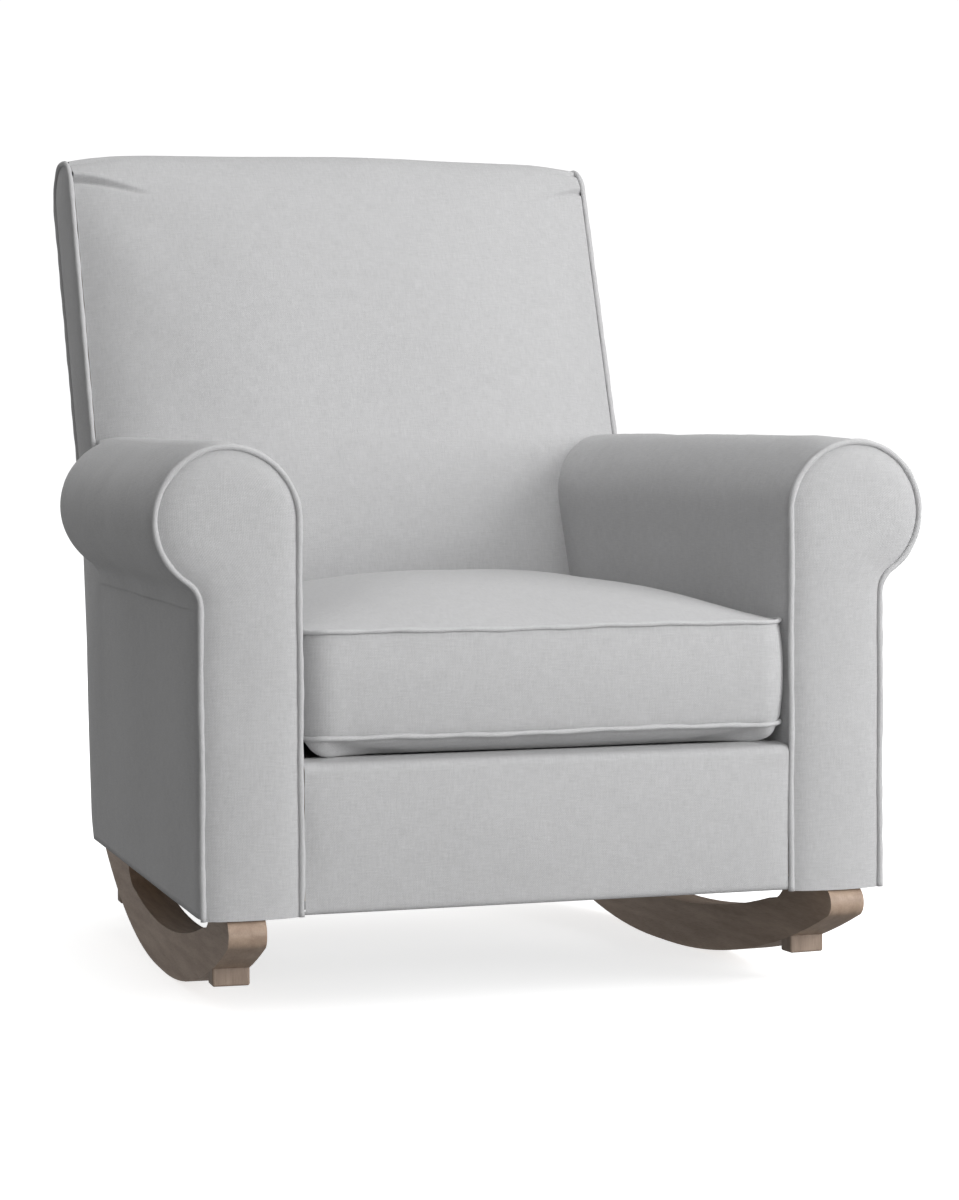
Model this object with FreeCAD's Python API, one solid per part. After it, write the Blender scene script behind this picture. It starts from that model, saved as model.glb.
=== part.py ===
import FreeCAD, Part
import math
import os

V = FreeCAD.Vector

# Nursery rocking chair with roll arms, a tight back and a loose box cushion.
# Sizes are in millimetres.  X runs across the chair, Y from front to back, Z up.
# Stations along Y are counted from the front of the arms; every shape is moved
# by -mid_y on writing, so that the origin lies under the middle of the chair.

# Overall shape
taper = 0.05            # how far each side closes in per millimetre towards the rear
base_z = 115.0          # underside of the upholstered body
rear_low_y = 709.0      # rear of the body at its underside
bend_y, bend_z = 788.0, 530.0   # where the upright lower rear meets the raked back
rake = 0.367            # lean of the back, run over rise
back_y, back_z = 724.0, 650.0   # a point on the plain front plane of the back
back_top_z = 948.0
back_rear_top_y = 957.0
mid_y = 466.0

# Arms
arm_inner = 271.0       # inner face at the front
arm_outer = 379.0       # outer face at the front
roll_x, roll_z, roll_r = 348.0, 523.0, 77.0
neck_r = 28.0           # hollow under the roll
arm_pad = 16.0          # padding over the frame
facing_t = 8.0          # thickness of the padded front panel
roll_end_y = 648.0      # rear end of the roll
panel_t = 6.0           # thickness of the flat outer covers
border_x = 340.0        # outer face of the borders of the back
welt_r = 3.8

# Seat
deck_z = 274.0
deck_t = 11.0
rail_top_z = 250.0
rail_t = 25.0
cushion_front_y = 2.0
cushion_rear_y = 572.0
cushion_lean = 0.25
cushion_gap = 4.0
low_seam_z, top_seam_z = 297.0, 407.0
low_crown, top_crown = 22.0, 44.0
cushion_corner_r = 28.0

# Back
pad_depth = 30.0
pad_half = 331.5
pad_crown = 32.0
top_pad = 38.0

# Rockers
rocker_w = 40.0
rocker_x = 333.0        # middle of the rocker at the front of the arms
toe_in = 0.06           # angle between each rocker and the Y axis, in radians
rocker_front_r, rocker_rear_r = 1010.0, 900.0   # the foot is a little flatter at the front
rocker_mid_y = 426.0
rest_flat = 36.0        # short level length at the lowest point
rocker_front_y, rocker_rear_y = -8.0, 836.0
rocker_t = 52.0         # depth of the curved middle
seat_front_end, seat_rear_start = 100.0, 655.0   # level seats against the body end and start here
shoulder = 40.0
nose_depth = 10.0       # how far each rounded end stands past its level seat
stop_l, stop_z = 25.0, 33.0
stop_front_y, stop_rear_y = 87.0, 711.0
stop_round = 2.5
screw_offset = 13.0     # the screws of a stop block pass either side of the bolt
bolt_ys = (97.5, 680.0)
bolt_r = 4.0
head_r = 9.5            # recess for a bolt head and its washer

# Springs
wire_r = 1.9
spring_z = 256.0
spring_xs = (-200.0, -100.0, 0.0, 100.0, 200.0)
back_spring_xs = (-210.0, -70.0, 70.0, 210.0)

half_pi = math.pi / 2


def in_xz(a, b):
    return V(a, 0, b)


def in_yz(a, b):
    return V(0, a, b)


def in_xy(a, b):
    return V(a, b, 0)


def rounded_edges(points, place, closed=True):
    """Lines and corner arcs through (a, b, radius) points of a flat outline."""
    count = len(points)
    corners = []
    for i, (a, b, r) in enumerate(points):
        here = V(a, b, 0)
        if r <= 0 or (not closed and i in (0, count - 1)):
            corners.append((here, here, here))
            continue
        before = points[i - 1]
        after = points[(i + 1) % count]
        to_before = (V(before[0], before[1], 0) - here).normalize()
        to_after = (V(after[0], after[1], 0) - here).normalize()
        half = to_before.getAngle(to_after) / 2
        reach = r / math.tan(half)
        inward = (to_before + to_after).normalize()
        centre = here + inward * (r / math.sin(half))
        corners.append((here + to_before * reach, centre - inward * r, here + to_after * reach))
    edges = []
    for i in range(count):
        start, middle, end = [place(p.x, p.y) for p in corners[i]]
        if start.distanceToPoint(end) > 0.01:
            edges.append(Part.Arc(start, middle, end).toShape())
        if i == count - 1 and not closed:
            break
        following = corners[(i + 1) % count][0]
        target = place(following.x, following.y)
        if end.distanceToPoint(target) > 0.01:
            edges.append(Part.makeLine(end, target))
    return edges


def flat_face(points, place):
    """Flat face inside a closed outline; plain (a, b) points have sharp corners."""
    full = [p if len(p) == 3 else (p[0], p[1], 0) for p in points]
    return Part.Face(Part.Wire(rounded_edges(full, place)))


def side_prism(face, y0, y1):
    """Carry a cross-section from y0 to y1 along the tapering right-hand side."""
    placed = face.copy()
    placed.translate(V(-taper * y0, y0, 0))
    run = y1 - y0
    return placed.extrude(V(-taper * run, run, 0))


def side_box(x0, x1, y0, y1, z0, z1):
    """Straight board that follows the tapering right-hand side."""
    section = flat_face([(x0, z0), (x1, z0), (x1, z1), (x0, z1)], in_xz)
    return side_prism(section, y0, y1)


def box(x0, x1, y0, y1, z0, z1):
    return Part.makeBox(x1 - x0, y1 - y0, z1 - z0, V(x0, y0, z0))


def slab_yz(points, x0, x1):
    """Extrude an outline drawn in the YZ plane from x0 to x1."""
    face = flat_face(points, in_yz)
    face.translate(V(x0, 0, 0))
    return face.extrude(V(x1 - x0, 0, 0))


def mirrored(shape):
    return shape.mirror(V(0, 0, 0), V(1, 0, 0))


def tube(edges, radius):
    """Round cord along a smooth path of edges."""
    path = Part.Wire(edges)
    first = edges[0]
    start = first.valueAt(first.FirstParameter)
    heading = first.tangentAt(first.FirstParameter)
    ring = Part.Wire([Part.makeCircle(radius, start, heading)])
    return path.makePipeShell([ring], True, True)


def surface_sheet(rows):
    """Smooth sheet through rows of points."""
    sheet = Part.BSplineSurface()
    sheet.interpolate(rows)
    return sheet.toShape()


def write(name, shape):
    moved = shape.copy()
    moved.translate(V(0, -mid_y, 0))
    moved.exportStep("parts/%s.step" % name)


def write_pair(name, right):
    """Write a right-hand piece and its mirror image."""
    write(name + "_right", right)
    write(name + "_left", mirrored(right))


def front_plane_y(z):
    return back_y + rake * (z - back_z)


def rear_y(z):
    """Rear of the chair: upright below the bend, raked above it."""
    if z < bend_z:
        return bend_y + (z - bend_z) * (bend_y - rear_low_y) / (bend_z - base_z)
    return bend_y + (z - bend_z) * (back_rear_top_y - bend_y) / (back_top_z - bend_z)


# ---------------------------------------------------------------- back

def crowned_front():
    """Front of the back: raked, and gently full in the middle."""
    low, high = deck_z - 4, back_top_z + 30
    rows = []
    for i in range(13):
        s = (i - 6) / 5.6
        row = []
        for j in range(15):
            z = low + (high - low) * j / 14
            t = (z - 590) / 312
            lift = max(0, 1 - abs(s) ** 2.4) * max(0, 1 - abs(t) ** 3)
            row.append(V(s * pad_half, front_plane_y(z) - 0.8 - pad_crown * lift, z))
        rows.append(row)
    return surface_sheet(rows)


def back_outline(inset, low, wire_only=False):
    """Side outline of the back, shrunk by inset: front edge, rounded top, rear edge."""
    top = back_top_z + 4 - inset
    lean = inset * math.hypot(1, rake)
    points = [
        (front_plane_y(low) + lean, low, 0),
        (front_plane_y(top) + lean, top, 44 - inset * 0.5),
        (rear_y(top) - lean, top, 44 - inset * 0.5),
    ]
    if low < bend_z:
        points.append((bend_y - lean, bend_z, 0))
    points.append((rear_y(low) - lean, low, 0))
    if wire_only:
        return rounded_edges(points, in_yz, closed=False)
    return points


solid_back = slab_yz(back_outline(0, deck_z + 0.6), -pad_half, pad_half)
forward = slab_yz(
    [(front_plane_y(deck_z) - 60, deck_z + 0.6), (front_plane_y(deck_z) + 10, deck_z + 0.6),
     (front_plane_y(902) + 10, 902), (front_plane_y(902) - 60, 902)], -pad_half, pad_half)
behind_front = crowned_front().extrude(V(0, 400, 0))
filled = solid_back.fuse(forward.common(behind_front))
cavity = slab_yz(
    [(front_plane_y(200) + pad_depth, 200), (1200, 200), (1200, back_top_z - top_pad),
     (front_plane_y(back_top_z - top_pad) + pad_depth, back_top_z - top_pad)], -400, 400)
back_pad = filled.cut(cavity).removeSplitter()
back_clearance = filled.copy()
back_clearance.translate(V(0, -0.6, 0))

border_points = back_outline(6.6, 503)
back_border = slab_yz(border_points, pad_half + 0.8, border_x)
border_path = back_outline(2.2, 503, wire_only=True)
for edge in border_path:
    edge.translate(V(border_x - welt_r + 0.3, 0, 0))
back_welt = tube(border_path, welt_r)

rear_skin = [
    (rear_low_y, base_z), (bend_y, bend_z), (rear_y(back_top_z - top_pad - 1), back_top_z - top_pad - 1),
    (rear_y(back_top_z - top_pad - 1) - panel_t, back_top_z - top_pad - 1),
    (bend_y - panel_t, bend_z), (rear_low_y - panel_t, base_z)]
outside_back = slab_yz(rear_skin, -pad_half, pad_half)

# ---------------------------------------------------------------- arms

def arm_edges(inset, low):
    """Open front outline of the right arm, shrunk by inset, starting and ending at height low."""
    x_in = arm_inner + inset
    x_out = arm_outer - inset
    r = roll_r - inset
    hollow = neck_r + inset
    hollow_x = x_out + hollow
    drop = math.sqrt((r + hollow) ** 2 - (hollow_x - roll_x) ** 2)
    hollow_z = roll_z - drop
    share = r / (r + hollow)
    touch = V(roll_x + (hollow_x - roll_x) * share, 0, roll_z - drop * share)
    turn = math.atan2(-drop, hollow_x - roll_x) / 2
    under = V(roll_x + r * math.cos(turn), 0, roll_z + r * math.sin(turn))
    swing = (math.atan2(drop, roll_x - hollow_x) + math.pi) / 2
    waist = V(hollow_x + hollow * math.cos(swing), 0, hollow_z + hollow * math.sin(swing))
    crest = V(roll_x, 0, roll_z + r)
    side = V(roll_x + r, 0, roll_z)
    return [
        Part.makeLine(V(x_in, 0, low), V(x_in, 0, roll_z)),
        Part.Arc(V(x_in, 0, roll_z), crest, side).toShape(),
        Part.Arc(side, under, touch).toShape(),
        Part.Arc(touch, waist, V(x_out, 0, hollow_z)).toShape(),
        Part.makeLine(V(x_out, 0, hollow_z), V(x_out, 0, low)),
    ]


def arm_face(inset, low):
    edges = arm_edges(inset, low)
    closing = Part.makeLine(V(arm_outer - inset, 0, low), V(arm_inner + inset, 0, low))
    return Part.Face(Part.Wire(edges + [closing]))


neck_z = roll_z - math.sqrt((roll_r + neck_r) ** 2 - (arm_outer + neck_r - roll_x) ** 2)

facing = side_prism(arm_face(7.5, base_z), 0.5, facing_t)
welt_path = [e.copy() for e in arm_edges(3.0, base_z)]
for edge in welt_path:
    edge.translate(V(0, welt_r + 0.2, 0))
facing_welt = tube(welt_path, welt_r)

shell_start = facing_t + 0.5
outer_roll = side_prism(arm_face(0, base_z), shell_start, roll_end_y)
outer_roll = outer_roll.makeFillet(
    16.0,
    [e for e in outer_roll.Edges
     if e.BoundBox.YMin > roll_end_y - 1 and e.BoundBox.ZMin > neck_z - 1])
inner_limit = side_prism(
    flat_face([(200, base_z), (363.5, base_z), (363.5, 700), (200, 700)], in_xz), 600, 725)
tongue = side_prism(arm_face(0, base_z), roll_end_y - 30, 725).common(inner_limit)
hollow = side_prism(arm_face(arm_pad, base_z - 1), shell_start - 1, roll_end_y - 16)
inside_arm = outer_roll.fuse(tongue).removeSplitter().cut(hollow)
inside_arm = inside_arm.cut(box(200, 500, -10, 900, 50, rail_top_z + 1))
inside_arm = inside_arm.cut(
    side_box(arm_outer - 22, 460, -10, 800, 50, neck_z + 0.4))
inside_arm = inside_arm.cut(back_clearance)
inside_arm = inside_arm.cut(box(200, 500, roll_end_y - 18, 900, 50, 300))

outer_slab = side_box(arm_outer - panel_t, arm_outer, shell_start, 810, base_z, 505)
outer_profile = slab_yz(
    [(shell_start, base_z), (rear_low_y, base_z), (rear_y(500), 500), (roll_end_y + 6, 500),
     (roll_end_y + 6, neck_z), (shell_start, neck_z)], 200, 460)
outside_arm = outer_slab.common(outer_profile)

# ---------------------------------------------------------------- wooden frame

facing_board = side_prism(arm_face(arm_pad + 0.5, base_z), facing_t + 1, facing_t + 23)
side_rail = side_box(318, 318 + rail_t, 33, 696, base_z, rail_top_z)
top_rail = side_box(302, 394, 33, roll_end_y - 18, 500, 520)
rear_arm_post = side_box(318, 318 + rail_t, 505, 555, rail_top_z, 500)
front_rail = box(-285, 285, 12, 34, 130, rail_top_z)
rear_rail = box(-284, 284, 645, 670, base_z, rail_top_z)

post_front = [(672, base_z), (672, 312)]
post_bend = [(front_plane_y(330) + pad_depth + 4, 330), (front_plane_y(905) + pad_depth + 4, 905)]
post_back = [(rear_y(905) - 9, 905), (bend_y - 9, bend_z), (rear_low_y - 9, base_z)]
back_post = slab_yz(post_front + post_bend + post_back, 311.5, 331)


def back_crossbar(z0, z1, half):
    """Board across the back between two heights, set behind the padding."""
    near = pad_depth + 14
    far = near + 22
    return slab_yz(
        [(front_plane_y(z0) + near, z0), (front_plane_y(z0) + far, z0),
         (front_plane_y(z1) + far, z1), (front_plane_y(z1) + near, z1)], -half, half)


back_top_rail = back_crossbar(835, 900, 311)
back_mid_rail = back_crossbar(560, 610, 311)
back_low_rail = back_crossbar(310, 370, 311)

block_z0, block_z1 = 190.0, 244.0
blocks = []
for sign in (-1, 1):
    front_corner = [(314, 34.5), (250, 34.5), (250, 40), (305, 95), (311, 95)]
    rear_corner = [(284, 644), (225, 644), (225, 638), (279, 585), (287, 585)]
    for corner in (front_corner, rear_corner):
        outline = flat_face([(sign * x, y) for x, y in corner], in_xy)
        outline.translate(V(0, 0, block_z0))
        blocks.append(outline.extrude(V(0, 0, block_z1 - block_z0)))
corner_blocks = Part.makeCompound(blocks)

# ---------------------------------------------------------------- springs

def sinuous(length, reach, pitch):
    """Zig-zag spring wire lying in the XY plane, starting at the origin and running along +Y."""
    turns = int(length // pitch)
    r = pitch / 2
    run = reach - r
    edges = [Part.makeLine(V(0, 0, 0), V(run, 0, 0))]
    side = 1
    for i in range(turns):
        y = i * pitch
        edges.append(Part.Arc(
            V(side * run, y, 0), V(side * (run + r), y + r, 0), V(side * run, y + pitch, 0)).toShape())
        last = 0 if i == turns - 1 else -side * run
        edges.append(Part.makeLine(V(side * run, y + pitch, 0), V(last, y + pitch, 0)))
        side = -side
    return tube(edges, wire_r)


def clip(x, y, z):
    """Folded steel clip around a spring end."""
    return box(x - 9, x + 9, y - 7, y + 7, z - 5, z + 3.2)


seat_strand = sinuous(636, 24, 24)
seat_springs = []
seat_clips = []
for x in spring_xs:
    strand = seat_strand.copy()
    strand.translate(V(x, 23, spring_z))
    seat_springs.append(strand)
    for y in (23.0, 23.0 + 26 * 24):
        grip = clip(x + 6, y, spring_z)
        seat_clips.append(grip.cut(strand))
seat_spring_set = Part.makeCompound(seat_springs)
seat_clip_set = Part.makeCompound(seat_clips)

rake_deg = math.degrees(math.atan(rake))
back_strand = sinuous(520, 24, 26)
back_strand.rotate(V(0, 0, 0), V(1, 0, 0), 90 - rake_deg)
spring_out = pad_depth + 8
back_springs = []
back_clips = []
for x in back_spring_xs:
    strand = back_strand.copy()
    low_z = 352.0
    strand.translate(V(x, front_plane_y(low_z) + spring_out, low_z))
    back_springs.append(strand)
    for step in (0.0, 20 * 26.0):
        grip = box(x - 3, x + 15, -7, 7, -5.4, 4.4)
        grip.translate(V(0, step, 0))
        grip.rotate(V(0, 0, 0), V(1, 0, 0), 90 - rake_deg)
        grip.translate(V(0, front_plane_y(low_z) + spring_out, low_z))
        back_clips.append(grip.cut(strand))
back_spring_set = Part.makeCompound(back_springs)
back_clip_set = Part.makeCompound(back_clips)

# ---------------------------------------------------------------- seat covers

rail_cover = slab_yz(
    [(3, base_z), (11, base_z), (11, 261), (30, 263), (30, deck_z - 1), (10, deck_z - 1), (3, deck_z - 8)],
    -269, 269)
deck_half = arm_inner - 1.5
deck_end = 640.0
deck_outline = flat_face(
    [(-(deck_half - taper * 31), 31), (deck_half - taper * 31, 31),
     (deck_half - taper * deck_end, deck_end), (-(deck_half - taper * deck_end), deck_end)], in_xy)
deck_outline.translate(V(0, 0, deck_z - deck_t))
seat_deck = deck_outline.extrude(V(0, 0, deck_t))
seat_deck = seat_deck.cut(box(-400, 400, front_plane_y(deck_z) - 6, 800, 200, 400))
dust_outline = flat_face(
    [(-314, 36), (314, 36), (286, 636), (-286, 636)], in_xy)
dust_outline.translate(V(0, 0, base_z + 1))
dust_cover = dust_outline.extrude(V(0, 0, 1.2))

# ---------------------------------------------------------------- loose cushion

def cushion_half(y):
    return arm_inner - taper * y - cushion_gap


def cushion_outline(z, inset, radius):
    rear = cushion_rear_y + cushion_lean * (z - low_seam_z) - inset
    front = cushion_front_y + inset
    wide = cushion_half(front) - inset
    narrow = cushion_half(rear) - inset
    points = [(-wide, front, radius), (wide, front, radius), (narrow, rear, radius), (-narrow, rear, radius)]
    edges = rounded_edges(points, in_xy)
    for edge in edges:
        edge.translate(V(0, 0, z))
    return edges


def cushion_dome(level, rise, lean_shift):
    """Smooth pillow surface over the cushion, level at the seams."""
    rear = cushion_rear_y + lean_shift
    middle = (cushion_front_y + rear) / 2
    reach = (rear - cushion_front_y) / 2
    rows = []
    for i in range(15):
        s = (i - 7) / 6.4
        row = []
        for j in range(15):
            t = (j - 7) / 6.4
            y = middle + reach * t
            x = cushion_half(y) * s
            lift = (1 - abs(s) ** 2.6) * (1 - abs(t) ** 2.6)
            row.append(V(x, y, level + rise * lift))
        rows.append(row)
    return surface_sheet(rows)


cover_inset = welt_r + 1.4
box_low = Part.Wire(cushion_outline(low_seam_z - 40, cover_inset, cushion_corner_r - 5))
box_high = Part.Wire(cushion_outline(top_seam_z + 60, cover_inset, cushion_corner_r - 5))
boxing = Part.makeLoft([box_low, box_high], True, True)
under_dome = cushion_dome(top_seam_z, top_crown, cushion_lean * (top_seam_z - low_seam_z))
under_dome = under_dome.extrude(V(0, 0, -300))
over_dome = cushion_dome(low_seam_z, -low_crown, 0).extrude(V(0, 0, 300))
cushion = boxing.common(under_dome).common(over_dome)
cushion_welt_top = tube(cushion_outline(top_seam_z, 1.0, cushion_corner_r - 1), welt_r)
cushion_welt_low = tube(cushion_outline(low_seam_z, 1.0, cushion_corner_r - 1), welt_r)
core_low = Part.Wire(cushion_outline(low_seam_z + 6, 12, cushion_corner_r - 10))
core_high = Part.Wire(cushion_outline(top_seam_z - 2, 12, cushion_corner_r - 10))
cushion_core = Part.makeLoft([core_low, core_high], True, True)
cushion = cushion.cut(cushion_core)

zip_z = (low_seam_z + top_seam_z) / 2
zip_y = cushion_rear_y + cushion_lean * (zip_z - low_seam_z) - cover_inset
zip_lean = math.degrees(math.atan(cushion_lean))


def on_rear(x0, x1, out0, out1, h0, h1):
    """Box against the leaning rear of the cushion."""
    piece = box(x0, x1, out0, out1, h0, h1)
    piece.rotate(V(0, 0, 0), V(1, 0, 0), -zip_lean)
    piece.translate(V(0, zip_y, zip_z))
    return piece


zip_half = 205.0
zip_tape = on_rear(-zip_half, zip_half, 0.2, 1.2, -14, 14)
zip_teeth = on_rear(-zip_half, zip_half, 1.2, 2.6, -2.6, 2.6)
zip_tape = zip_tape.fuse(zip_teeth).removeSplitter()
zip_slider = on_rear(zip_half - 22, zip_half - 8, 1.6, 6.2, -6.5, 6.5)
zip_slider = zip_slider.cut(on_rear(-300, 300, 1.0, 2.95, -3.0, 3.0))

# ---------------------------------------------------------------- rockers

def foot_circle(y):
    """Radius and centre y of the part of the foot that y lies on: each arc starts level at an end of the flat."""
    if y < rocker_mid_y:
        return rocker_front_r, rocker_mid_y - rest_flat / 2
    return rocker_rear_r, rocker_mid_y + rest_flat / 2


def arc_height(y):
    radius, centre_y = foot_circle(y)
    return radius - math.sqrt(radius ** 2 - (y - centre_y) ** 2)


def rocker_section():
    """Side outline of one rocker: curved foot, rounded ends, and a level seat at each end of the top."""
    y0, y1 = rocker_front_y, rocker_rear_y
    flat0, flat1 = rocker_mid_y - rest_flat / 2, rocker_mid_y + rest_flat / 2
    low0, low1 = arc_height(y0 + 8), arc_height(y1 - 8)
    quarter0 = (y0 + 8 + flat0) / 2
    quarter1 = (y1 - 8 + flat1) / 2
    top0 = seat_front_end + shoulder
    top1 = seat_rear_start - shoulder
    rim0, rim1 = rocker_t + arc_height(top0), rocker_t + arc_height(top1)
    edges = [
        Part.makeLine(V(0, flat0, 0), V(0, flat1, 0)),
        Part.Arc(V(0, flat1, 0), V(0, quarter1, arc_height(quarter1)), V(0, y1 - 8, low1)).toShape(),
        Part.Arc(V(0, y1 - 8, low1), V(0, y1, (low1 + base_z) / 2), V(0, y1 - nose_depth, base_z)).toShape(),
        Part.makeLine(V(0, y1 - nose_depth, base_z), V(0, seat_rear_start, base_z)),
        Part.Arc(V(0, seat_rear_start, base_z),
                 V(0, seat_rear_start - shoulder * 0.3, base_z - (base_z - rim1) * 0.62),
                 V(0, top1, rim1)).toShape(),
        Part.Arc(V(0, top1, rim1), V(0, rocker_mid_y, rocker_t), V(0, top0, rim0)).toShape(),
        Part.Arc(V(0, top0, rim0),
                 V(0, seat_front_end + shoulder * 0.3, base_z - (base_z - rim0) * 0.68),
                 V(0, seat_front_end, base_z)).toShape(),
        Part.makeLine(V(0, seat_front_end, base_z), V(0, y0 + nose_depth, base_z)),
        Part.Arc(V(0, y0 + nose_depth, base_z), V(0, y0, (low0 + base_z) / 2), V(0, y0 + 8, low0)).toShape(),
        Part.Arc(V(0, y0 + 8, low0), V(0, quarter0, arc_height(quarter0)), V(0, flat0, 0)).toShape(),
    ]
    return Part.Face(Part.Wire(edges))


def toe(shape):
    """Turn a rocker piece from straight ahead to its toed-in line, about the front of the arms."""
    turned = shape.copy()
    turned.rotate(V(rocker_x, 0, 0), V(0, 0, 1), math.degrees(toe_in))
    return turned


def round_bar(x, y, z0, z1, r):
    return Part.makeCylinder(r, z1 - z0, V(x, y, z0))


def hexagon(x, y, z0, z1, across):
    r = across / math.sqrt(3)
    corners = [(x + r * math.cos(k * math.pi / 3), y + r * math.sin(k * math.pi / 3)) for k in range(6)]
    outline = flat_face(corners, in_xy)
    outline.translate(V(0, 0, z0))
    return outline.extrude(V(0, 0, z1 - z0))


section = rocker_section()
section.translate(V(rocker_x - rocker_w / 2, 0, 0))
rocker = section.extrude(V(rocker_w, 0, 0))
bolts, washers, nuts = [], [], []
washer_z = 88.0
nut_z = 168.0
for y in bolt_ys:
    rocker = rocker.cut(round_bar(rocker_x, y, -5, washer_z + 0.01, head_r))
    rocker = rocker.cut(round_bar(rocker_x, y, 0, 200, bolt_r + 0.4))
    head = hexagon(rocker_x, y, washer_z - 7.0, washer_z - 1.7, 13.0)
    bolts.append(head.fuse(round_bar(rocker_x, y, washer_z - 1.8, nut_z + 9, bolt_r)).removeSplitter())
    ring = round_bar(rocker_x, y, washer_z - 1.65, washer_z - 0.05, 8.5)
    washers.append(ring.cut(round_bar(rocker_x, y, 0, 200, bolt_r + 0.3)))
    barrel = Part.makeCylinder(5.9, 20, V(rocker_x - 10, y, nut_z), V(1, 0, 0))
    nuts.append(barrel.cut(round_bar(rocker_x, y, 0, 300, bolt_r + 0.02)))


def stop_block(y0):
    """Square block under the rocker that ends its swing."""
    block = box(rocker_x - rocker_w / 2, rocker_x + rocker_w / 2, y0, y0 + stop_l, stop_z, 90)
    block = block.makeFillet(stop_round, [e for e in block.Edges if e.BoundBox.ZMin < stop_z + 1])
    radius, centre_y = foot_circle(y0)
    foot = Part.makeCylinder(radius, 200, V(rocker_x - 100, centre_y, radius), V(1, 0, 0))
    return block.cut(foot)


def countersunk(x, y, z, length):
    cone = Part.makeCone(4.2, 2.2, 3.0, V(x, y, z))
    return cone.fuse(round_bar(x, y, z + 3, z + length, 2.2)).removeSplitter()


stops = []
stop_screws = []
for y0 in (stop_front_y, stop_rear_y):
    block = stop_block(y0)
    for dx in (-screw_offset, screw_offset):
        screw = countersunk(rocker_x + dx, y0 + stop_l / 2, stop_z + 0.5, 38)
        stop_screws.append(screw)
        block = block.cut(screw).cut(round_bar(rocker_x + dx, y0 + stop_l / 2, 0, stop_z + 0.6, 4.2))
        rocker = rocker.cut(screw)
    stops.append(block)

rocker = toe(rocker)
bolt_set = toe(Part.makeCompound(bolts))
washer_set = toe(Part.makeCompound(washers))
nut_set = toe(Part.makeCompound(nuts))
screw_set = toe(Part.makeCompound(stop_screws))
for y in bolt_ys:
    side_rail = side_rail.cut(toe(round_bar(rocker_x, y, 100, nut_z + 12, bolt_r + 0.4)))
    side_rail = side_rail.cut(toe(Part.makeCylinder(6.0, 80, V(rocker_x - 40, y, nut_z), V(1, 0, 0))))

# ---------------------------------------------------------------- files

os.makedirs("parts", exist_ok=True)

paired = {
    "rocker": rocker,
    "front_stop_block": toe(stops[0]),
    "rear_stop_block": toe(stops[1]),
    "side_rail": side_rail,
    "arm_front_board": facing_board,
    "arm_top_board": top_rail,
    "arm_rear_post": rear_arm_post,
    "back_post": back_post,
    "inside_arm": inside_arm,
    "outside_arm": outside_arm,
    "arm_front_panel": facing,
    "arm_welt": facing_welt,
    "back_border": back_border,
    "back_welt": back_welt,
}
for name, shape in paired.items():
    write_pair(name, shape)

both_sides = {
    "rocker_bolts": bolt_set,
    "rocker_washers": washer_set,
    "rocker_barrel_nuts": nut_set,
    "stop_block_screws": screw_set,
}
for name, shape in both_sides.items():
    write(name, Part.makeCompound([shape, mirrored(shape)]))

single = {
    "front_rail": front_rail,
    "rear_rail": rear_rail,
    "back_top_rail": back_top_rail,
    "back_mid_rail": back_mid_rail,
    "back_low_rail": back_low_rail,
    "corner_blocks": corner_blocks,
    "seat_springs": seat_spring_set,
    "seat_spring_clips": seat_clip_set,
    "back_springs": back_spring_set,
    "back_spring_clips": back_clip_set,
    "front_rail_cover": rail_cover,
    "seat_deck": seat_deck,
    "dust_cover": dust_cover,
    "back_pad": back_pad,
    "outside_back": outside_back,
    "seat_cushion": cushion,
    "cushion_core": cushion_core,
    "cushion_welt_top": cushion_welt_top,
    "cushion_welt_bottom": cushion_welt_low,
    "cushion_zip": zip_tape,
    "zip_slider": zip_slider,
}
for name, shape in single.items():
    write(name, shape)
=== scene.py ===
import math

import bmesh
import bpy
import numpy as np
from mathutils import Matrix, Vector, noise


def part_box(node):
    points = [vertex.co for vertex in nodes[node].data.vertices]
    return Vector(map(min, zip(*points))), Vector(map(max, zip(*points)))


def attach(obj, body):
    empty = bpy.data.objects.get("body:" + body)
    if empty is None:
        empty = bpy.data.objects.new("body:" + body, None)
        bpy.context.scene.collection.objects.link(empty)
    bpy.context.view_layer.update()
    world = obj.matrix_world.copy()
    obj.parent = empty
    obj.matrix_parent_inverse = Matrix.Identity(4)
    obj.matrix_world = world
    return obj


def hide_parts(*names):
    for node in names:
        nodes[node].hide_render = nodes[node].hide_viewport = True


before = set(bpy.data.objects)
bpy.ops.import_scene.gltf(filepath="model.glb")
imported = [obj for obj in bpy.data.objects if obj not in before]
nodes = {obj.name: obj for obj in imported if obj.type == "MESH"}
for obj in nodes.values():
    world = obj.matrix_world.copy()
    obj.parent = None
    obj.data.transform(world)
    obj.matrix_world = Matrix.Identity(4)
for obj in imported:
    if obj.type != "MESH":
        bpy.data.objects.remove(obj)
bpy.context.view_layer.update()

# Driving sizes in metres. Y is counted from the front of the arms and shifted by MID_Y on building.
MID_Y = 0.466
TAPER = 0.05
BASE_Z = 0.115
ARM_IN, ARM_OUT = 0.271, 0.379
ROLL_X, ROLL_Z, ROLL_R = 0.348, 0.523, 0.077
NECK_R = 0.028
ROLL_END = 0.648
RAKE = 0.367
BACK_HALF = 0.3340
BORDER_X = 0.3405
BACK_TOP = 0.946
REAR_TOP, BACK_FULL = 0.892, 0.044
FRONT_INSET, REAR_INSET = 0.006, 0.004
KINK_Y, KINK_Z, REAR_LOW_Y = 0.788, 0.530, 0.709
BACK_ROUND = 0.044
DECK_Z, DUST_Z = 0.2735, 0.1175
WELT_R = 0.0032
SEAM_LOW, SEAM_TOP = 0.297, 0.407


def front_y(z):
    return 0.724 + FRONT_INSET + RAKE * (z - 0.650)


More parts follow.
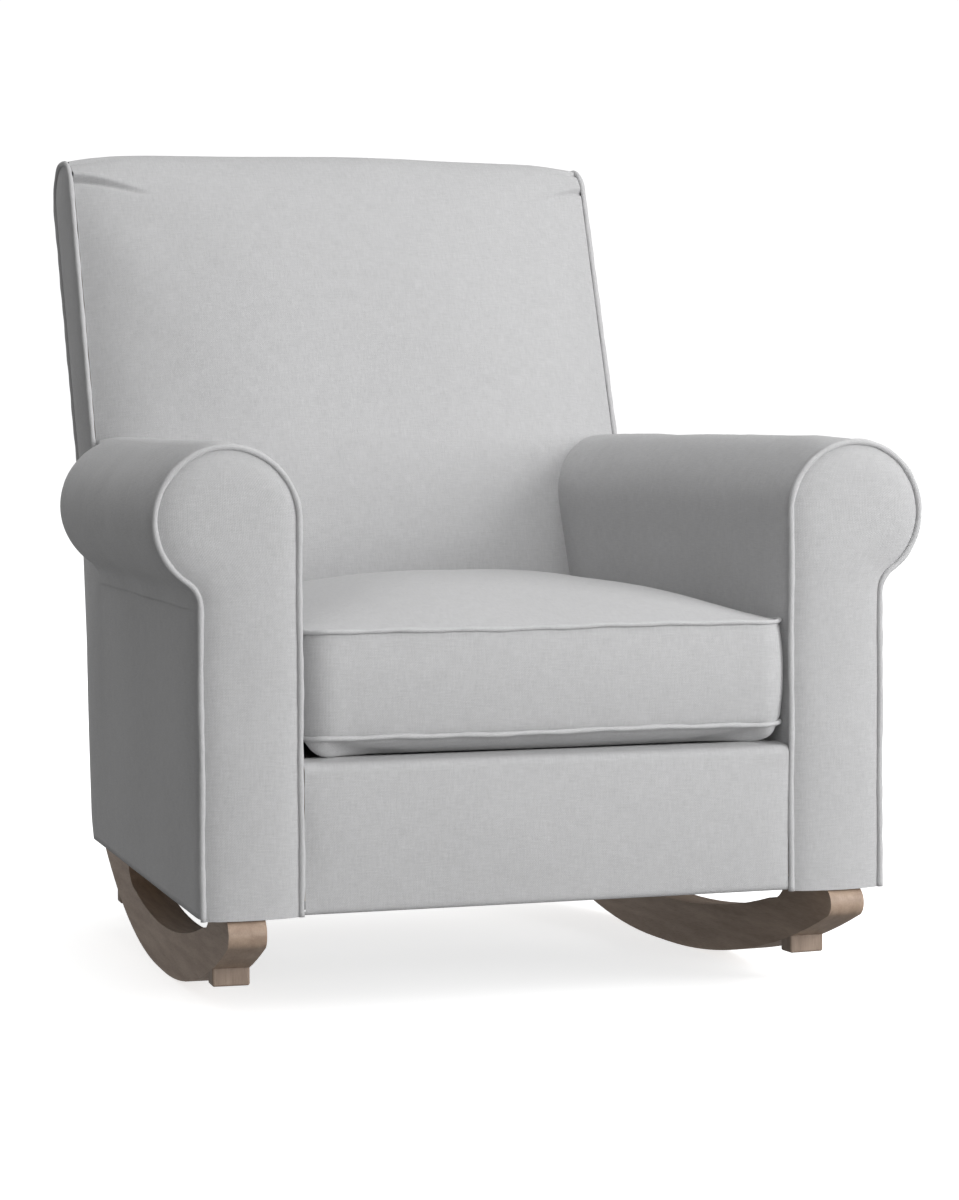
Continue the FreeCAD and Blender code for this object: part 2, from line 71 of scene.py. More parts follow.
def rear_y(z):
    z = np.asarray(z, float)
    low = KINK_Y + (z - KINK_Z) * (KINK_Y - REAR_LOW_Y) / 0.415
    high = KINK_Y + (z - KINK_Z) * (0.957 - KINK_Y) / 0.418
    return np.where(z < KINK_Z, low, high) - REAR_INSET * np.clip((z - 0.500) / 0.1, 0, 1)


# ---------------------------------------------------------------- mesh helpers

def arc_lengths(points):
    steps = np.linalg.norm(np.diff(points, axis=0), axis=1)
    return np.concatenate([[0.0], np.cumsum(steps)])


def resample(points, count):
    """Even spacing along a polyline."""
    points = np.asarray(points, float)
    s = arc_lengths(points)
    t = np.linspace(0, s[-1], count)
    return np.stack([np.interp(t, s, points[:, k]) for k in range(points.shape[1])], 1)


def arc(centre, radius, a0, a1, count=24):
    a = np.linspace(a0, a1, count)
    return np.stack([centre[0] + radius * np.cos(a), centre[1] + radius * np.sin(a)], 1)


def rounded_path(points, radii, count=14):
    """Polyline with its inner corners rounded."""
    points = [np.asarray(p, float) for p in points]
    out = [points[0]]
    for i in range(1, len(points) - 1):
        p, r = points[i], radii[i]
        if r <= 0:
            out.append(p)
            continue
        a = points[i - 1] - p
        b = points[i + 1] - p
        a, b = a / np.linalg.norm(a), b / np.linalg.norm(b)
        half = math.acos(np.clip(a @ b, -1, 1)) / 2
        mid = (a + b) / np.linalg.norm(a + b)
        centre = p + mid * r / math.sin(half)
        start = p + a * r / math.tan(half) - centre
        end = p + b * r / math.tan(half) - centre
        for k in range(count + 1):
            t = k / count
            d = start * (1 - t) + end * t
            out.append(centre + d / np.linalg.norm(d) * r)
    out.append(points[-1])
    return np.array(out)


def new_object(name, verts, faces, uvs=None, smooth=True):
    """Mesh object in the row frame; uvs is one (u, v) per face corner, in metres along the cloth."""
    verts = np.array(verts, float)
    verts[:, 1] -= MID_Y
    mesh = bpy.data.meshes.new(name)
    mesh.from_pydata(verts.tolist(), [], [list(f) for f in faces])
    if uvs is not None:
        layer = mesh.uv_layers.new(name="cloth")
        layer.data.foreach_set("uv", np.asarray(uvs, np.float32).ravel())
    if smooth:
        mesh.polygons.foreach_set("use_smooth", [True] * len(mesh.polygons))
    obj = bpy.data.objects.new(name, mesh)
    bpy.context.collection.objects.link(obj)
    return obj


def grid_faces(nu, nv, flip=False, wrap_u=False):
    faces = []
    for i in range(nu if wrap_u else nu - 1):
        a, b = i, (i + 1) % nu
        for j in range(nv - 1):
            f = [a * nv + j, b * nv + j, b * nv + j + 1, a * nv + j + 1]
            faces.append(f[::-1] if flip else f)
    return faces


def grid_uv(points):
    """Cloth coordinates of a grid, from the mean arc lengths of its rows and columns."""
    du = np.linalg.norm(np.diff(points, axis=0), axis=2).mean(1)
    dv = np.linalg.norm(np.diff(points, axis=1), axis=2).mean(0)
    u = np.concatenate([[0.0], np.cumsum(du)])
    v = np.concatenate([[0.0], np.cumsum(dv)])
    return np.stack(np.meshgrid(u, v, indexing="ij"), -1)


def grid_object(name, points, flip=False):
    nu, nv = points.shape[:2]
    faces = grid_faces(nu, nv, flip)
    uv = grid_uv(points).reshape(-1, 2)
    corner = np.array([uv[i] for f in faces for i in f])
    return new_object(name, points.reshape(-1, 3), faces, corner)


def ripple(points, size, height, seed):
    """Smooth unevenness for a grid of points: a vector field of the given size and height."""
    flat = points.reshape(-1, 3)
    out = np.array([noise.noise(Vector((p[0] / size + seed * 7.3, p[1] / size - seed * 3.1,
                                        p[2] / size + seed))) for p in flat])
    return out.reshape(points.shape[:-1]) * height


def normals_of(points):
    du = np.gradient(points, axis=0)
    dv = np.gradient(points, axis=1)
    n = np.cross(du, dv)
    return n / np.maximum(np.linalg.norm(n, axis=2, keepdims=True), 1e-9)


def tube(name, path, radius, sides=12, closed=False, wave=0.0002, seed=0):
    """Piping along a path: a soft round cord under cloth, with a bias weave along it."""
    path = np.asarray(path, float)
    n = len(path)
    if closed:
        tangent = np.roll(path, -1, 0) - np.roll(path, 1, 0)
    else:
        tangent = np.gradient(path, axis=0)
    tangent /= np.linalg.norm(tangent, axis=1, keepdims=True)
    up = np.zeros(3)
    up[np.argmin(np.abs(tangent).max(0))] = 1
    ring_pts = np.zeros((n, sides, 3))
    side = np.cross(tangent[0], up)
    side /= np.linalg.norm(side)
    s = np.concatenate([[0.0], np.cumsum(np.linalg.norm(np.diff(path, axis=0), axis=1))])
    for i in range(n):
        side = side - (side @ tangent[i]) * tangent[i]
        side /= np.linalg.norm(side)
        other = np.cross(tangent[i], side)
        r = radius + wave * math.sin(s[i] * 190 + seed) + wave * math.sin(s[i] * 71 + seed * 2)
        for k in range(sides):
            a = 2 * math.pi * k / sides
            ring_pts[i, k] = path[i] + r * (math.cos(a) * side + math.sin(a) * other)
    faces, uvs = [], []
    last = n if closed else n - 1
    for i in range(last):
        j = (i + 1) % n
        for k in range(sides):
            m = (k + 1) % sides
            faces.append([i * sides + k, i * sides + m, j * sides + m, j * sides + k])
            u0 = s[i]
            u1 = s[j] if j > i else s[i] + np.linalg.norm(path[j] - path[i])
            v0, v1 = k / sides * 2 * math.pi * radius, (k + 1) / sides * 2 * math.pi * radius
            uvs += [(u0 + v0, v0 - u0), (u0 + v1, v1 - u0), (u1 + v1, v1 - u1), (u1 + v0, v0 - u1)]
    if not closed:
        for end in (0, n - 1):
            ids = [end * sides + k for k in range(sides)]
            faces.append(ids if end else ids[::-1])
            uvs += [(0, 0)] * sides
    return new_object(name, ring_pts.reshape(-1, 3), faces, uvs)


def swell(obj, pins, pressure, cap, stiff=12.0, frames=20):
    """Blow the cloth up a little, hold its seams, and keep the result in the mesh."""
    scene = bpy.context.scene
    before = np.zeros(len(obj.data.vertices) * 3)
    obj.data.vertices.foreach_get("co", before)
    before = before.reshape(-1, 3)
    group = obj.vertex_groups.new(name="seam")
    group.add([int(i) for i in pins], 1.0, "REPLACE")
    mod = obj.modifiers.new("swell", "CLOTH")
    cloth = mod.settings
    cloth.quality = 5
    cloth.mass = 0.3
    cloth.tension_stiffness = stiff
    cloth.compression_stiffness = stiff
    cloth.shear_stiffness = stiff * 0.5
    cloth.bending_stiffness = 1.0
    cloth.air_damping = 2.0
    cloth.use_pressure = True
    cloth.uniform_pressure_force = pressure
    cloth.effector_weights.gravity = 0.0
    cloth.vertex_group_mass = "seam"
    mod.point_cache.frame_end = frames + 1
    for f in range(1, frames + 1):
        scene.frame_set(f)
    result = obj.evaluated_get(bpy.context.evaluated_depsgraph_get())
    after = np.zeros(len(before) * 3)
    result.data.vertices.foreach_get("co", after)
    move = after.reshape(-1, 3) - before
    length = np.linalg.norm(move, axis=1, keepdims=True)
    move *= np.minimum(1.0, cap / np.maximum(length, 1e-9))
    obj.modifiers.remove(mod)
    obj.vertex_groups.remove(group)
    obj.data.vertices.foreach_set("co", (before + move).ravel())
    obj.data.update()
    scene.frame_set(1)


def smoother(obj):
    mod = obj.modifiers.new("smooth", "SUBSURF")
    mod.levels = mod.render_levels = 1


# ---------------------------------------------------------------- materials

def shader(name):
    mat = bpy.data.materials.new(name)
    mat.use_nodes = True
    tree = mat.node_tree
    tree.nodes.clear()
    out = tree.nodes.new("ShaderNodeOutputMaterial")
    bsdf = tree.nodes.new("ShaderNodeBsdfPrincipled")
    tree.links.new(bsdf.outputs[0], out.inputs[0])
    return mat, tree, bsdf


def maths(tree, op, a, b=None):
    node = tree.nodes.new("ShaderNodeMath")
    node.operation = op
    for k, value in enumerate((a, b)):
        if value is None:
            continue
        if isinstance(value, (int, float)):
            node.inputs[k].default_value = value
        else:
            tree.links.new(value, node.inputs[k])
    return node.outputs[0]


def mixed(tree, factor, a, b, mode="MIX"):
    node = tree.nodes.new("ShaderNodeMix")
    node.data_type = "RGBA"
    node.blend_type = mode
    for socket, value in ((node.inputs[0], factor), (node.inputs[6], a), (node.inputs[7], b)):
        if isinstance(value, (int, float)):
            socket.default_value = value
        elif isinstance(value, tuple):
            socket.default_value = (*value, 1.0)
        else:
            tree.links.new(value, socket)
    return node.outputs[2]


def scaled(tree, source, scale):
    node = tree.nodes.new("ShaderNodeMapping")
    node.inputs["Scale"].default_value = scale
    tree.links.new(source, node.inputs[0])
    return node.outputs[0]


def noisy(tree, source, scale, detail=2.0, rough=0.5):
    node = tree.nodes.new("ShaderNodeTexNoise")
    node.inputs["Scale"].default_value = scale
    node.inputs["Detail"].default_value = detail
    node.inputs["Roughness"].default_value = rough
    tree.links.new(source, node.inputs["Vector"])
    return node.outputs["Fac"]


def ramped(tree, source, low, high, a=0.3, b=0.7):
    node = tree.nodes.new("ShaderNodeMapRange")
    for key, value in (("From Min", a), ("From Max", b), ("To Min", low), ("To Max", high)):
        node.inputs[key].default_value = value
    tree.links.new(source, node.inputs["Value"])
    return node.outputs["Result"]


def bumped(tree, bsdf, height, strength, distance):
    node = tree.nodes.new("ShaderNodeBump")
    node.inputs["Strength"].default_value = strength
    node.inputs["Distance"].default_value = distance
    tree.links.new(height, node.inputs["Height"])
    tree.links.new(node.outputs[0], bsdf.inputs["Normal"])


def woven(name, light, dark, pitch=0.0013, contrast=1.0, sheen=0.25):
    """Plain weave of heathered yarn: over-and-under threads, slubs both ways, soft mottling."""
    mat, tree, bsdf = shader(name)
    uv = tree.nodes.new("ShaderNodeUVMap")
    uv.uv_map = "cloth"
    split = tree.nodes.new("ShaderNodeSeparateXYZ")
    drift = tree.nodes.new("ShaderNodeTexNoise")
    drift.inputs["Scale"].default_value = 160
    tree.links.new(uv.outputs[0], drift.inputs["Vector"])
    shift = tree.nodes.new("ShaderNodeVectorMath")
    shift.operation = "MULTIPLY_ADD"
    shift.inputs[1].default_value = (0.0006, 0.0006, 0)
    tree.links.new(drift.outputs["Color"], shift.inputs[0])
    tree.links.new(uv.outputs[0], shift.inputs[2])
    tree.links.new(shift.outputs[0], split.inputs[0])
    u = maths(tree, "SINE", maths(tree, "MULTIPLY", split.outputs[0], math.pi / pitch))
    v = maths(tree, "SINE", maths(tree, "MULTIPLY", split.outputs[1], math.pi / pitch))
    over = maths(tree, "GREATER_THAN", maths(tree, "MULTIPLY", u, v), 0.0)
    warp = maths(tree, "ABSOLUTE", u)
    weft = maths(tree, "ABSOLUTE", v)
    height = maths(tree, "ADD", maths(tree, "MULTIPLY", warp, over),
                   maths(tree, "MULTIPLY", weft, maths(tree, "SUBTRACT", 1.0, over)))
    slub_u = noisy(tree, scaled(tree, uv.outputs[0], (70, 620, 1)), 1.0, 3.0, 0.6)
    slub_v = noisy(tree, scaled(tree, uv.outputs[0], (620, 70, 1)), 1.0, 3.0, 0.6)
    yarn = maths(tree, "ADD", maths(tree, "MULTIPLY", slub_u, over),
                 maths(tree, "MULTIPLY", slub_v, maths(tree, "SUBTRACT", 1.0, over)))
    mottle = noisy(tree, uv.outputs[0], 45.0, 4.0, 0.6)
    share = maths(tree, "ADD", ramped(tree, yarn, 0.0, 0.72, 0.28, 0.72),
                  maths(tree, "MULTIPLY", mottle, 0.28 * contrast))
    colour = mixed(tree, share, dark, light)
    # Painted shade: the colour is darkened to 80 % where the weave is low, in the hollows between the
    # threads.
    hollow = ramped(tree, height, 0.80, 1.0, 0.0, 0.75)
    colour = mixed(tree, 1.0, colour, hollow, "MULTIPLY")
    tree.links.new(colour, bsdf.inputs["Base Color"])
    fuzz = noisy(tree, uv.outputs[0], 2600.0, 2.0, 0.6)
    relief = maths(tree, "ADD", height, maths(tree, "MULTIPLY", fuzz, 0.45))
    relief = maths(tree, "ADD", relief, maths(tree, "MULTIPLY", yarn, 0.6))
    bumped(tree, bsdf, relief, 0.35, 0.0004)
    tree.links.new(ramped(tree, share, 0.96, 0.86, 0.0, 1.0), bsdf.inputs["Roughness"])
    bsdf.inputs["Sheen Weight"].default_value = sheen
    bsdf.inputs["Sheen Roughness"].default_value = 0.5
    bsdf.inputs["Specular IOR Level"].default_value = 0.2
    return mat


def timber(name, light, dark, along, rough=0.5):
    """Stained wood with long grain along one axis, open pores and worn tone along it."""
    mat, tree, bsdf = shader(name)
    coord = tree.nodes.new("ShaderNodeTexCoord").outputs["Object"]
    stretch = {"X": (0.08, 1, 1), "Y": (1, 0.08, 1), "Z": (1, 1, 0.08)}[along]
    line = scaled(tree, coord, stretch)
    bend = tree.nodes.new("ShaderNodeTexNoise")
    bend.inputs["Scale"].default_value = 14
    tree.links.new(line, bend.inputs["Vector"])
    pull = tree.nodes.new("ShaderNodeVectorMath")
    pull.operation = "MULTIPLY_ADD"
    pull.inputs[1].default_value = (0.02, 0.02, 0.02)
    tree.links.new(bend.outputs["Color"], pull.inputs[0])
    tree.links.new(line, pull.inputs[2])
    rings = noisy(tree, pull.outputs[0], 95.0, 4.0, 0.55)
    fine = noisy(tree, pull.outputs[0], 900.0, 2.0, 0.5)
    broad = noisy(tree, line, 9.0, 2.0, 0.5)
    share = maths(tree, "ADD", maths(tree, "MULTIPLY", ramped(tree, rings, 0, 1, 0.36, 0.66), 0.5),
                  maths(tree, "MULTIPLY", ramped(tree, fine, 0, 1, 0.35, 0.7), 0.3))
    share = maths(tree, "ADD", share, maths(tree, "MULTIPLY", ramped(tree, broad, 0, 1), 0.2))
    tree.links.new(mixed(tree, share, dark, light), bsdf.inputs["Base Color"])
    pore = ramped(tree, fine, 0.0, 1.0, 0.30, 0.45)
    bumped(tree, bsdf, maths(tree, "ADD", pore, maths(tree, "MULTIPLY", rings, 0.6)), 0.3, 0.0004)
    tree.links.new(ramped(tree, share, rough + 0.12, rough - 0.08, 0.0, 1.0), bsdf.inputs["Roughness"])
    return mat


def metal(name, colour, rough):
    mat, tree, bsdf = shader(name)
    coord = tree.nodes.new("ShaderNodeTexCoord").outputs["Object"]
    spots = noisy(tree, coord, 420.0, 4.0, 0.6)
    wide = noisy(tree, coord, 60.0, 2.0, 0.5)
    low = tuple(c * 0.72 for c in colour)
    tree.links.new(mixed(tree, ramped(tree, wide, 0, 1), low, colour), bsdf.inputs["Base Color"])
    tree.links.new(ramped(tree, spots, rough - 0.12, rough + 0.12), bsdf.inputs["Roughness"])
    bsdf.inputs["Metallic"].default_value = 1.0
    bumped(tree, bsdf, spots, 0.12, 0.0002)
    return mat


FABRIC_LIGHT, FABRIC_DARK = (0.60, 0.60, 0.605), (0.42, 0.42, 0.425)
upholstery = woven("upholstery_fabric", FABRIC_LIGHT, FABRIC_DARK)
# Welt cover: the cover fabric at a finer, bias pitch, its colours painted a little lighter as a painted
# highlight along the round welts.
piping_painted_highlight = woven("piping_fabric_painted_highlight", (0.63, 0.63, 0.635), (0.47, 0.47, 0.475), 0.0012)
deck_cloth = woven("deck_cloth", (0.50, 0.50, 0.50), (0.38, 0.38, 0.38), 0.0011)
dust_cloth = woven("dust_cloth", (0.035, 0.035, 0.037), (0.012, 0.012, 0.013), 0.0016, 1.5, 0.1)
tape_cloth = woven("tape_cloth", (0.42, 0.42, 0.42), (0.30, 0.30, 0.30), 0.0008)
runner_wood = timber("runner_wood", (0.46, 0.342, 0.257), (0.29, 0.206, 0.153), "Y", 0.5)
block_wood = timber("block_wood", (0.36, 0.275, 0.213), (0.225, 0.165, 0.127), "Z", 0.55)
frame_wood = timber("frame_wood", (0.66, 0.47, 0.29), (0.45, 0.29, 0.16), "X", 0.7)
post_wood = timber("post_wood", (0.64, 0.46, 0.29), (0.44, 0.29, 0.17), "Z", 0.7)
rail_wood = timber("rail_wood", (0.66, 0.48, 0.30), (0.46, 0.30, 0.17), "Y", 0.7)
zinc = metal("zinc_steel", (0.62, 0.61, 0.58), 0.38)
spring_steel = metal("spring_steel", (0.26, 0.26, 0.27), 0.42)
zip_metal = metal("zip_metal", (0.45, 0.45, 0.46), 0.35)


def paint(obj, mat):
    if not obj.material_slots:
        obj.data.materials.append(mat)
    for item in obj.material_slots:
        item.material = mat


def finish_piece(obj, body, mat, slot, *replaced):
    paint(obj, mat)
    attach(obj, body)
    if replaced:
        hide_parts(*replaced)


CROSS_PIECES = ("front_rail", "rear_rail", "back_top_rail", "back_mid_rail", "back_low_rail", "corner_blocks")
for key, node in nodes.items():
    if key in ("rocker_left", "rocker_right"):
        paint(node, runner_wood)
    elif "stop_block_l" in key or "stop_block_r" in key:
        paint(node, block_wood)
    elif key in CROSS_PIECES:
        paint(node, frame_wood)
    elif "post" in key or "front_board" in key:
        paint(node, post_wood)
    elif "side_rail" in key or "top_board" in key:
        paint(node, rail_wood)
    elif key in ("seat_springs", "back_springs"):
        paint(node, spring_steel)
    elif key == "zip_slider":
        paint(node, zip_metal)
    elif "bolts" in key or "washers" in key or "nuts" in key or "clips" in key or "screws" in key:
        paint(node, zinc)


def eased_copy(key, name, mat, width):
    """The same wooden piece with its sharp edges sanded round."""
    mesh = nodes[key].data.copy()
    obj = bpy.data.objects.new(name, mesh)
    bpy.context.collection.objects.link(obj)
    weld = bmesh.new()
    weld.from_mesh(mesh)
    bmesh.ops.remove_doubles(weld, verts=weld.verts, dist=1e-5)
    bmesh.ops.dissolve_limit(weld, angle_limit=math.radians(0.5), verts=weld.verts, edges=weld.edges)
    weld.to_mesh(mesh)
    weld.free()
    soft = obj.modifiers.new("eased", "BEVEL")
    soft.width, soft.segments = width, 3
    soft.limit_method, soft.angle_limit = "ANGLE", math.radians(35)
    soft.use_clamp_overlap = True
    mesh.polygons.foreach_set("use_smooth", [False] * len(mesh.polygons))
    mesh.shade_smooth()
    mesh.set_sharp_from_angle(angle=math.radians(40))
    finish_piece(obj, "chair", mat, "runner_wood", key)


for side in ("left", "right"):
    eased_copy("rocker_" + side, "runner_" + side, runner_wood, 0.0022)


# ---------------------------------------------------------------- arms

def arm_curve(inset=0.0, low_in=BASE_Z, low_out=BASE_Z):
    """Front outline of the right arm in (x, z): up the inside, over the roll, down the outside."""
    x_in, x_out = ARM_IN + inset, ARM_OUT - inset
    r, hollow = ROLL_R - inset, NECK_R + inset
    hx = x_out + hollow
    drop = math.sqrt((r + hollow) ** 2 - (hx - ROLL_X) ** 2)
    hz = ROLL_Z - drop
    down = math.atan2(-drop, hx - ROLL_X)
    back = math.atan2(drop, ROLL_X - hx)
    inner = np.array([[x_in, low_in], [x_in, ROLL_Z]])
    over = arc((ROLL_X, ROLL_Z), r, math.pi, down, 60)
    waist = arc((hx, hz), hollow, back, math.pi, 16)
    outer = np.array([[x_out, low_out]])
    return np.concatenate([inner, over[1:], waist[1:], outer])


ARM_ROWS, ARM_COLUMNS = 120, 76
PANEL_Y, SIDE_Y = 0.0080, 0.0085
NECK_Z = ROLL_Z - math.sqrt((ROLL_R + NECK_R) ** 2 - (ARM_OUT + NECK_R - ROLL_X) ** 2)
sides = (("right", 1), ("left", -1))


def sided(points, sign):
    out = np.array(points, float)
    out[..., 0] *= sign
    return out


def arm_cover(name, sign, seed):
    """Padded cover of the inner arm and the roll, drawn in at the front welt and tucked in at the rear."""
    line = resample(arm_curve(0.0, 0.268, NECK_Z - 0.004), ARM_ROWS)
    run = arc_lengths(line)
    crest = int(np.argmax(line[:, 1]))
    meet = np.interp(BORDER_X + TAPER * ROLL_END, line[crest:crest + 12, 0], run[crest:crest + 12])
    rows = []
    for (x, z), s in zip(line, run):
        blend = np.clip((s - meet) / 0.012 + 0.5, 0, 1)
        blend = blend * blend * (3 - 2 * blend)
        back = front_y(z) + 0.010
        if z < 0.44:
            back = front_y(z) + 0.016
        end = back * (1 - blend) + (ROLL_END + 0.002) * blend
        t = np.linspace(0, 1, ARM_COLUMNS)
        ease = 0.5 - 0.5 * np.cos(math.pi * np.clip(t * 0.97 + 0.03 * t * t, 0, 1))
        y = PANEL_Y + (end - PANEL_Y) * ease * 0.35 + (end - PANEL_Y) * t * 0.65
        rows.append(np.stack([x - TAPER * y, y, np.full(ARM_COLUMNS, z)], 1))
    grid = np.array(rows)
    n = normals_of(grid)
    if n[10, 20, 0] > 0:
        n = -n
    y = grid[..., 1]
    end = grid[:, -1:, 1]
    front = 1 - np.exp(-(y - PANEL_Y) / 0.020)
    rear = 1 - np.exp(-(end - y) / 0.018)
    swell_height = 0.0035 * front * rear - 0.0020 * (1 - front)
    on_roll = np.clip((grid[..., 2] - 0.47) / 0.05, 0, 1)
    tuck = np.exp(-(y - PANEL_Y) / 0.030) * np.sin(run[:, None] * 110 + seed * 2.0) * 0.0006 * on_roll
    swell_height = swell_height + tuck + ripple(grid, 0.11, 0.0022, seed) * front * rear
    swell_height = swell_height + ripple(grid, 0.035, 0.0005, seed + 5) * front * rear
    round_off = 0.020 * (1 - np.clip((end - y) / 0.026, 0, 1)) ** 2
    outer = np.clip((run - meet + 0.012) / 0.035, 0, 1)[:, None]
    grid = grid + n * (swell_height - round_off * outer)[..., None]
    last = grid[:, -1]
    inmost = np.minimum(last[:, 0], BORDER_X - 0.0015)
    end_cap = []
    for share, out in ((0.8, 0.0025), (0.5, 0.004), (0.2, 0.004), (0.0, 0.003)):
        column = last.copy()
        column[:, 0] = inmost + (last[:, 0] - inmost) * share
        column[:, 1] += out * outer[:, 0]
        end_cap.append(column)
    for share in (0.5, 1.0):
        column = end_cap[3].copy()
        column[:, 1] += (np.maximum(front_y(last[:, 2]) + 0.012, column[:, 1]) - column[:, 1]) * share
        end_cap.append(column)
    full = np.concatenate([grid, np.stack(end_cap, 1)], 1)
    inside = run < meet - 0.008
    full[inside, ARM_COLUMNS:] = full[inside, ARM_COLUMNS - 1:ARM_COLUMNS]
    return grid_object(name, sided(full, sign), flip=(sign < 0))


def ruled_panel(path_a, path_b, place, bulge, columns=22, seed=0):
    """Flat grid between two matched edge paths that meet at the top, and how far its padding rises."""
    rows = []
    edge = np.concatenate([path_a, path_b[::-1]])
    for a, b in zip(path_a, path_b):
        t = np.linspace(0, 1, columns)
        t = 0.5 - 0.5 * np.cos(math.pi * t) * (0.55 + 0.45 * np.abs(np.cos(math.pi * t)))
        rows.append(a + (b - a) * t[:, None])
    flat = np.array(rows)
    pts = flat.reshape(-1, 2)
    d = np.full(len(pts), 9.0)
    for p, q in zip(edge[:-1], edge[1:]):
        seg = q - p
        length = seg @ seg
        if length < 1e-14:
            continue
        s = np.clip(((pts - p) @ seg) / length, 0, 1)
        d = np.minimum(d, np.linalg.norm(pts - (p + s[:, None] * seg), axis=1))
    d = d.reshape(flat.shape[:2])
    rise = bulge * (1 - np.exp(-d / 0.013)) + 0.25 * bulge * (1 - np.exp(-d / 0.05))
    solid = np.array([[place(p[0], p[1]) for p in row] for row in flat])
    rise = rise + ripple(solid, 0.09, 0.0012, seed) * np.clip(d / 0.03, 0, 1)
    return solid, rise


def arm_front(name, sign, seed):
    curve = arm_curve(0.0040)
    crest = int(np.argmax(curve[:, 1]))
    inner = resample(curve[:crest + 1], 90)
    outer = resample(curve[crest:][::-1], 90)
    solid, rise = ruled_panel(inner, outer, lambda x, z: (x, 0.0052, z), 0.0080, seed=seed)
    solid[..., 1] -= rise
    return grid_object(name, sided(solid, sign), flip=(sign < 0))


def arm_welt(name, sign, seed):
    curve = resample(arm_curve(0.0018), 190)
    path = np.stack([curve[:, 0], np.full(len(curve), 0.0046), curve[:, 1]], 1)
    path[:, 0] += 0.0004 * np.sin(np.arange(190) * 0.21 + seed)
    return tube(name, sided(path, sign), WELT_R, seed=seed)


def outer_side(name, sign, seed):
    """Flat outer cover of one side, folded under at the bottom."""
    ny, nz, fold = 84, 50, 5
    grid = np.zeros((ny, nz + fold, 3))
    for i in range(ny):
        for j in range(nz):
            w = j / (nz - 1)
            z = BASE_Z + 0.001 + w * (NECK_Z + 0.003 - BASE_Z)
            run = i / (ny - 1)
            y = SIDE_Y + run * (float(rear_y(z)) - 0.001 - SIDE_Y)
            z += w * w * np.clip((y - 0.600) / 0.040, 0, 1) * (0.507 - NECK_Z)
            y = SIDE_Y + run * (float(rear_y(z)) - 0.001 - SIDE_Y)
            grid[i, j + fold] = (ARM_OUT - TAPER * y, y, z)
        base = grid[i, fold].copy()
        for k in range(fold):
            a = k / fold * math.pi / 2
            inward = -0.006 * (1 - math.sin(a)) - 0.012 * (k == 0)
            grid[i, k] = base + np.array([inward, 0, -0.0005 + 0.0012 * math.sin(a)])
    y, z = grid[..., 1], grid[..., 2]
    d = np.minimum.reduce([y - SIDE_Y, float(rear_y(0.3)) - y, np.abs(NECK_Z - z) + 0.02, z - BASE_Z + 0.01])
    bow = 0.0035 * (1 - np.exp(-np.clip(d, 0, 1) / 0.03)) - 0.0025 * np.exp(-(y - SIDE_Y) / 0.008)
    bow = bow + ripple(grid, 0.16, 0.0022, seed) * np.clip(d / 0.05, 0, 1)
    grid[:, fold:, 0] += bow[:, fold:]
    grid[-1, :, 0] -= 0.0075
    grid[:, -1, 0] -= 0.0080 * (y[:, -1] > 0.64)
    grid[:, -1, 2] += 0.0030 * (y[:, -1] > 0.64)
    return grid_object(name, sided(grid, sign), flip=(sign < 0))


# Both covers are made before the other arm pieces, right arm first.
arm_covers = {tag: arm_cover("inside_arm_cover_" + tag, sign, seed)
              for tag, sign, seed in (("right", 1, 1.0), ("left", -1, 2.0))}
for (tag, sign), seed in zip(sides, (1.0, 2.0)):
    finish_piece(arm_covers[tag], "chair", upholstery, "upholstery_fabric", "inside_arm_" + tag)
    panel = arm_front("arm_front_" + tag, sign, seed + 3)
    finish_piece(panel, "chair", upholstery, "upholstery_fabric", "arm_front_panel_" + tag)
    welt = arm_welt("arm_piping_" + tag, sign, seed)
    finish_piece(welt, "chair", piping_painted_highlight, "upholstery_fabric", "arm_welt_" + tag)
    side = outer_side("outer_side_" + tag, sign, seed + 9)
    finish_piece(side, "chair", upholstery, "upholstery_fabric", "outside_arm_" + tag)


# ---------------------------------------------------------------- back

def back_path(inset, low):
    """Side outline of the back in (y, z): up the front, over the top and down the rear."""
    top = BACK_TOP - inset
    lean = inset * math.hypot(1, RAKE)
    points = [
        (front_y(low) + lean, low), (front_y(top) + lean, top), (float(rear_y(top)) - lean, top),
        (float(rear_y(KINK_Z)) - lean, KINK_Z), (float(rear_y(low)) - lean, low)]
    radii = [0, BACK_ROUND - inset * 0.5, BACK_ROUND - inset * 0.5, 0.02, 0]
    if low >= KINK_Z:
        points.pop(3)
        radii.pop(3)
    return rounded_path(points, radii)


